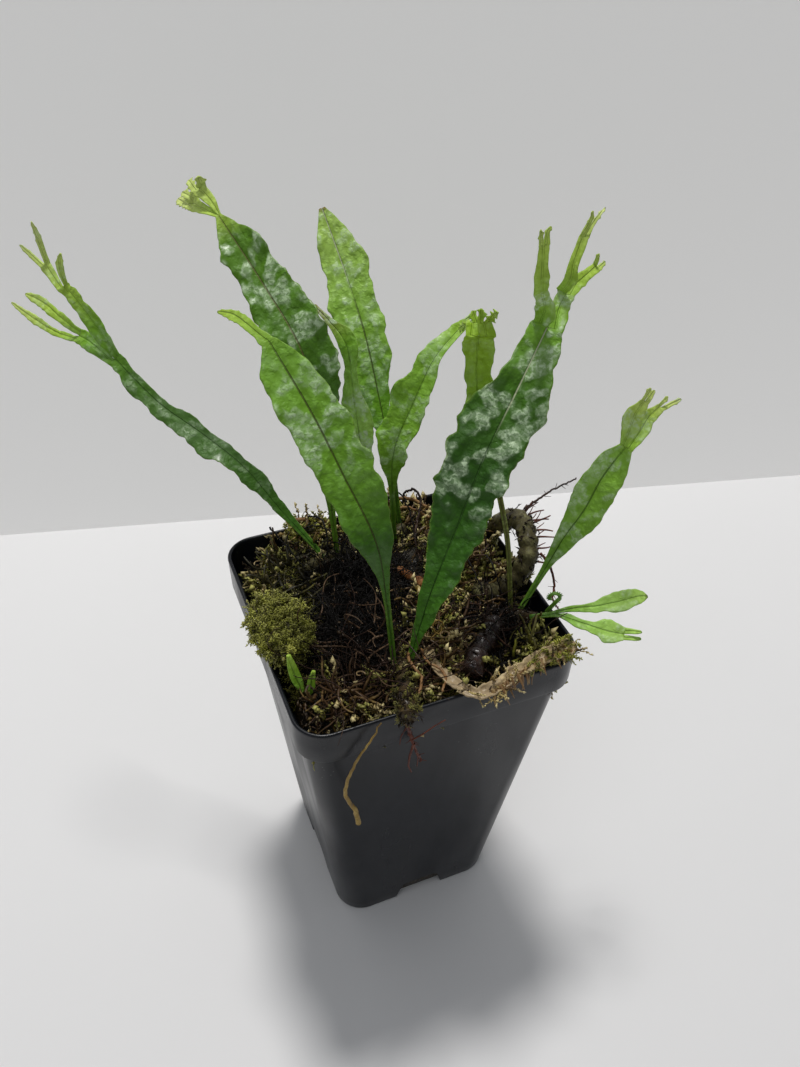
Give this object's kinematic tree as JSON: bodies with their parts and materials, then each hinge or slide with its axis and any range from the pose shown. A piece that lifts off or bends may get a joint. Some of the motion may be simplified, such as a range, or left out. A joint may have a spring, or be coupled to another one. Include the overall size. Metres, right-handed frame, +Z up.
{
  "type": "potted java fern",
  "caption": "Young java fern with forked, crested fronds on creeping rhizomes, rooted in sphagnum moss in a tapered square nursery pot.",
  "frame": {"origin": "centre of the pot's base, on the surface that it stands on", "axes": "+Z up, -Y towards the pot side with the dried strand and the cut rhizome end, +X to the right of it"},
  "size_m": [0.1747, 0.164, 0.246],
  "materials": {
    "pot": "black with a satin sheen",
    "moss": "damp and fibrous",
    "bright_moss": "damp and fibrous",
    "dried_moss": "dry and matt",
    "rhizome": "scaly, dull",
    "dark_rhizome": "wet, dark brown",
    "orange_rhizome": "dull orange-brown",
    "root": "wiry, dark",
    "yellow_root": "dull yellow",
    "frond": "blistered and waxy, dark green",
    "light_frond": "smooth and waxy, light green"
  },
  "bodies": {
    "root": {"pot": "pot", "moss_bed": "moss", "moss_clump_left": "bright_moss", "dried_strand": "dried_moss", "rhizome_arched": "rhizome", "rhizome_right": "rhizome", "rhizome_dark": "dark_rhizome", "rhizome_front": "rhizome", "rhizome_stub": "orange_rhizome", "rhizome_back": "rhizome", "root_back_loop": "root", "root_right_long": "root", "root_right_hanging": "root", "root_front_red": "root", "root_front_yellow": "yellow_root", "frond_left": "frond", "frond_back_left": "frond", "frond_front_left": "frond", "frond_back": "frond", "frond_centre": "frond", "frond_right_leaning": "frond", "frond_small_crested": "light_frond", "frond_front_right": "frond", "frond_right": "frond", "frond_two_lobed": "frond", "seedling_leaf_left": "light_frond", "seedling_leaf_right": "light_frond", "young_leaf": "light_frond", "fiddlehead": "light_frond"}
  },
  "joints": []
}
